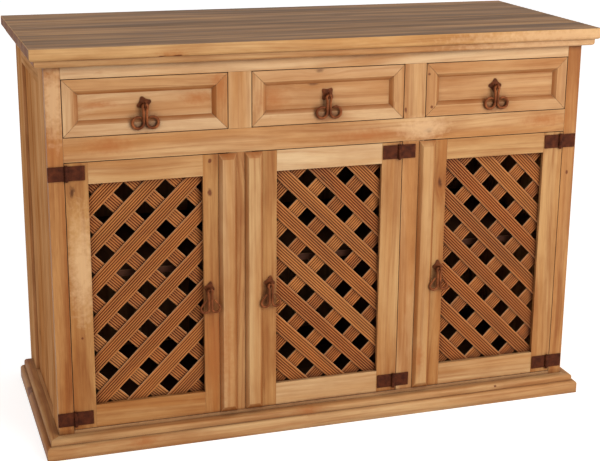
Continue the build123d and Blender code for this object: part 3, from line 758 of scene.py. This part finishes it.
def iron(name, dark, rust, shine):
    """Hammered iron, from its dark wax to the rust on its worn places."""
    material, tree, shader = new_material(name)
    place = tree.nodes.new("ShaderNodeTexCoord").outputs["Object"]
    marks = clouds(tree, place, 140.0, 2.0)
    grit = clouds(tree, place, 1400.0, 3.0, 0.65)
    rusted = clouds(tree, place, 60.0, 4.0, 0.6)
    colour = mixed(tree, ranged(tree, rusted, 0.38, 0.68), dark, rust)
    colour = mixed(tree, ranged(tree, grit, 0.4, 0.8, 0.0, 0.5), colour, rust)
    tree.links.new(colour, shader.inputs["Base Color"])
    shader.inputs["Metallic"].default_value = 0.25
    shader.inputs["Specular IOR Level"].default_value = 0.1
    feed(tree, shader.inputs["Roughness"], ranged(tree, grit, 0.3, 0.7, shine, shine + 0.2))
    bump = tree.nodes.new("ShaderNodeBump")
    bump.inputs["Strength"].default_value = 0.5
    bump.inputs["Distance"].default_value = 0.0008
    tree.links.new(maths(tree, "ADD", marks, maths(tree, "MULTIPLY", grit, 0.25)), bump.inputs["Height"])
    tree.links.new(bump.outputs[0], shader.inputs["Normal"])
    return material


finishes["iron_hinge"] = iron("iron_hinge", srgb(54, 23, 12), srgb(92, 44, 23), 0.55)
finishes["iron_plate"] = iron("iron_plate", srgb(68, 32, 14), srgb(112, 58, 29), 0.48)
finishes["iron_pull"] = iron("iron_pull", srgb(88, 42, 20), srgb(146, 82, 44), 0.4)

# %% Hinges
iron_arris = 0.0005
for node, slot in sorted(slot_of_node.items()):
    if slot == "iron_hinge":
        bm = copied_solids(node)
        soften(bm, iron_arris, least_turn=40.0)
        piece = finished(bm, f"{node}_forged", node, finishes["iron_hinge"])
        print(piece.name, len(piece.data.polygons), "faces")

# %% [markdown]
# ## Drop pulls
# A pull is one rod: it is bent round an eye at its middle, its two stems run down side by side,
# and each end curls outwards into a loop that thins towards its tip. One half is bent step by
# step from a single ring of vertices and mirrored. The eye hangs in a ring whose shank goes
# through a small four-pointed plate, which is hammered into a shallow dome.

# %% Rods bent step by step
rod_radius = 0.003
rod_sides = 12
bend_step = radians(9)
rod_marks, plate_marks = 0.00035, 0.0004  # how deep the hammer's marks are


def along(vector, angle):
    """A direction in the X-Z plane turned to the left, as seen from the front."""
    return Matrix.Rotation(-angle, 3, "Y") @ vector


def bend(bm, end, radius, turn, thin=1.0):
    """Carry a rod's last ring round a bend; a positive turn is to the left, and thin tapers it."""
    ring, at, heading = end
    side = 1 if turn > 0 else -1
    centre = at + side * radius * along(heading, pi / 2)
    steps = max(2, round(abs(turn) / bend_step))
    for _ in range(steps):
        last = bmesh.ops.spin(
            bm, geom=ring, cent=centre, axis=(0, -side, 0), angle=abs(turn) / steps, steps=1,
            use_merge=False)
        ring = last["geom_last"]
        at = centre + Matrix.Rotation(-turn / steps, 3, "Y") @ (at - centre)
        scale_ring(bm, ring, at, thin ** (1 / steps))
    return ring, at, along(heading, turn)


def straight(bm, end, length, thin=1.0, steps=None):
    """Carry a rod's last ring straight on."""
    ring, at, heading = end
    steps = steps or max(1, round(length / rod_radius))
    for _ in range(steps):
        edges = [item for item in ring if isinstance(item, bmesh.types.BMEdge)]
        pushed = bmesh.ops.extrude_edge_only(bm, edges=edges)["geom"]
        new_verts = [item for item in pushed if isinstance(item, bmesh.types.BMVert)]
        ring = new_verts + [
            item for item in pushed
            if isinstance(item, bmesh.types.BMEdge) and all(v in new_verts for v in item.verts)]
        bmesh.ops.translate(bm, verts=new_verts, vec=heading * length / steps)
        at = at + heading * length / steps
        scale_ring(bm, ring, at, thin ** (1 / steps))
    return ring, at, heading


def scale_ring(bm, ring, at, share):
    """Shrink a ring about the rod's centre line."""
    verts = [item for item in ring if isinstance(item, bmesh.types.BMVert)]
    bmesh.ops.scale(bm, verts=verts, vec=(share, share, share), space=Matrix.Translation(-at))


def round_off(bm, end):
    """Close a rod's tip with two shrinking rings."""
    end = straight(bm, end, rod_radius * 0.3, 0.75, 1)
    end = straight(bm, end, rod_radius * 0.15, 0.5, 1)
    bmesh.ops.holes_fill(bm, edges=[e for e in end[0] if isinstance(e, bmesh.types.BMEdge)], sides=0)


def hammer(bm, depth, size, seed):
    """Move every vertex in and out along its normal, as hammering leaves the metal."""
    bm.normal_update()
    shift = Vector((seed * 7.3, seed * 3.1, seed * 5.7))
    for vert in bm.verts:
        vert.co += vert.normal * depth * (noise.noise(vert.co / size + shift) - 0.2)


# %% Handles
eye_radius, eye_turn = 0.0056, radians(105)
neck_radius, stem_apart, tail_gap = 0.020, 0.0036, 0.0006
pull_sizes = {"drawer": (0.0565, 0.0128, None), "door": (0.058, 0.0097, radians(217))}  # drop, loop, turn


def pull_handle(pivot, drop, loop_radius, loop_turn, seed):
    """The bent rod, hanging from its pivot."""
    bm = bmesh.new()
    made = bmesh.ops.create_circle(bm, cap_ends=False, radius=rod_radius, segments=rod_sides)
    bmesh.ops.rotate(bm, verts=made["verts"], cent=(0, 0, 0), matrix=Matrix.Rotation(pi / 2, 3, "Y"))
    end = ([*bm.verts, *bm.edges], Vector((0, 0, 0)), Vector((1, 0, 0)))
    end = bend(bm, end, eye_radius, -eye_turn)
    neck_turn = eye_turn - pi / 2
    neck_in = neck_radius * (1 - cos(neck_turn))
    end = straight(bm, end, (end[1].x - stem_apart - neck_in) / sin(neck_turn))
    end = bend(bm, end, neck_radius, neck_turn)
    loop_drop = drop - rod_radius - loop_radius
    end = straight(bm, end, end[1].z + loop_drop)
    if loop_turn is None:
        loop_turn = 2 * pi - acos(1 - (2 * rod_radius + tail_gap) / loop_radius)
    end = bend(bm, end, loop_radius, loop_turn * 0.7, 1.12)
    end = bend(bm, end, loop_radius, loop_turn * 0.3, 0.72)
    tail = end[1].x - stem_apart - 2 * rod_radius - tail_gap
    if tail > rod_radius:
        end = straight(bm, end, tail / abs(end[2].x), 0.85)
    round_off(bm, end)
    bmesh.ops.mirror(bm, geom=[*bm.verts, *bm.edges, *bm.faces], axis="X", merge_dist=0.00002)
    bmesh.ops.remove_doubles(bm, verts=bm.verts, dist=0.00002)
    bmesh.ops.recalc_face_normals(bm, faces=bm.faces)
    hammer(bm, rod_marks, 0.004, seed)
    bmesh.ops.translate(bm, verts=bm.verts, vec=pivot)
    return bm


# %% Plates with their eye pins
plate_shapes = {
    "drawer_1": (0.0198, 0.0198, -20), "drawer_2": (0.0198, 0.0198, 42), "drawer_3": (0.0198, 0.0198, 0),
    "door_1": (0.016, 0.020, 15), "door_2": (0.016, 0.020, 8), "door_3": (0.016, 0.020, 0),
}
plate_hollow, plate_blunt = 0.0024, 0.003
plate_thick, plate_rim = 0.002, 0.0012
plate_rings = (0.98, 0.9, 0.78, 0.64, 0.5, 0.36, 0.22, 0.1)
plate_points = 72
pull_stand = 0.013
pin_eye_radius, pin_wire, shank_radius, shank_long = 0.0049, 0.0015, 0.002, 0.015


def plate_reach(angle, half_wide, half_high):
    """How far a plate's edge lies from its middle: four blunt points with hollows between."""
    quarter = angle % (pi / 2)
    near, next_ = (half_wide, half_high) if int(angle // (pi / 2)) % 2 == 0 else (half_high, half_wide)
    chord = near * next_ / (next_ * cos(quarter) + near * sin(quarter))
    point = near if quarter < pi / 4 else next_
    return min(chord - plate_hollow * sin(2 * quarter), point - plate_blunt)


def pull_plate(pivot, half_wide, half_high, turn, seed):
    """The hammered plate on the wood, with the ring that the handle hangs in."""
    bm = bmesh.new()
    made = bmesh.ops.create_circle(bm, cap_ends=False, radius=1.0, segments=plate_points)
    bmesh.ops.rotate(bm, verts=made["verts"], cent=(0, 0, 0), matrix=Matrix.Rotation(pi / 2, 3, "X"))
    outline = bm.edges[:]
    for vert in bm.verts:
        angle = atan2(vert.co.z, vert.co.x)
        vert.co *= plate_reach((angle + radians(turn)) % (2 * pi), half_wide, half_high)
    ring = outline
    shares = (1.0, *plate_rings)
    for number in range(1, len(shares)):
        pushed = bmesh.ops.extrude_edge_only(bm, edges=ring)["geom"]
        verts = [item for item in pushed if isinstance(item, bmesh.types.BMVert)]
        ring = [
            item for item in pushed
            if isinstance(item, bmesh.types.BMEdge) and all(v in verts for v in item.verts)]
        bmesh.ops.scale(bm, verts=verts, vec=(shares[number] / shares[number - 1],) * 3)
    bmesh.ops.holes_fill(bm, edges=ring, sides=0)
    for vert in bm.verts:
        share = min(1.0, Vector((vert.co.x, vert.co.z)).length / half_high)
        vert.co.y = pull_stand - plate_rim - (plate_thick - plate_rim) * (1 - share * share)
    back = bmesh.ops.extrude_edge_only(bm, edges=outline)["geom"]
    verts = [item for item in back if isinstance(item, bmesh.types.BMVert)]
    for vert in verts:
        vert.co.y = pull_stand
    bmesh.ops.holes_fill(bm, edges=[e for e in back if isinstance(e, bmesh.types.BMEdge)], sides=0)
    bmesh.ops.recalc_face_normals(bm, faces=bm.faces)
    hammer(bm, plate_marks, 0.005, seed)
    for vert in bm.verts:
        vert.co.y = min(vert.co.y, pull_stand)
    wire = bmesh.ops.create_circle(bm, cap_ends=False, radius=pin_wire, segments=10)["verts"]
    bmesh.ops.translate(bm, verts=wire, vec=(0, pin_eye_radius, 0))
    wire_edges = [e for e in bm.edges if e.verts[0] in wire and e.verts[1] in wire]
    bmesh.ops.spin(
        bm, geom=[*wire, *wire_edges], cent=(0, 0, 0), axis=(1, 0, 0), angle=2 * pi, steps=28, use_merge=True)
    shank = bmesh.ops.create_cone(
        bm, cap_ends=True, radius1=shank_radius, radius2=shank_radius, depth=shank_long, segments=14)["verts"]
    bmesh.ops.rotate(bm, verts=shank, cent=(0, 0, 0), matrix=Matrix.Rotation(pi / 2, 3, "X"))
    bmesh.ops.translate(bm, verts=shank, vec=(0, pin_eye_radius + shank_long / 2, 0))
    bmesh.ops.recalc_face_normals(bm, faces=bm.faces)
    bmesh.ops.translate(bm, verts=bm.verts, vec=pivot)
    return bm


def shade_smooth(piece, turn):
    """Smooth shading, broken at edges that turn more sharply than this."""
    piece.data.shade_smooth()
    piece.data.set_sharp_from_angle(angle=turn)


for number, (owner, (half_wide, half_high, turn)) in enumerate(plate_shapes.items()):
    pivot = joint_place[f"{owner}_pull_swing"]
    bm = pull_plate(pivot, half_wide, half_high, turn, number + 1)
    plate = finished(bm, f"{owner}_pull_plate_forged", f"{owner}_pull_plate", finishes["iron_plate"])
    bm = pull_handle(pivot, *pull_sizes[owner[:-2]], number + 11)
    handle = finished(bm, f"{owner}_pull_handle_forged", f"{owner}_pull_handle", finishes["iron_pull"])
    for piece in (plate, handle):
        shade_smooth(piece, radians(40))
        print(piece.name, len(piece.data.polygons), "faces")
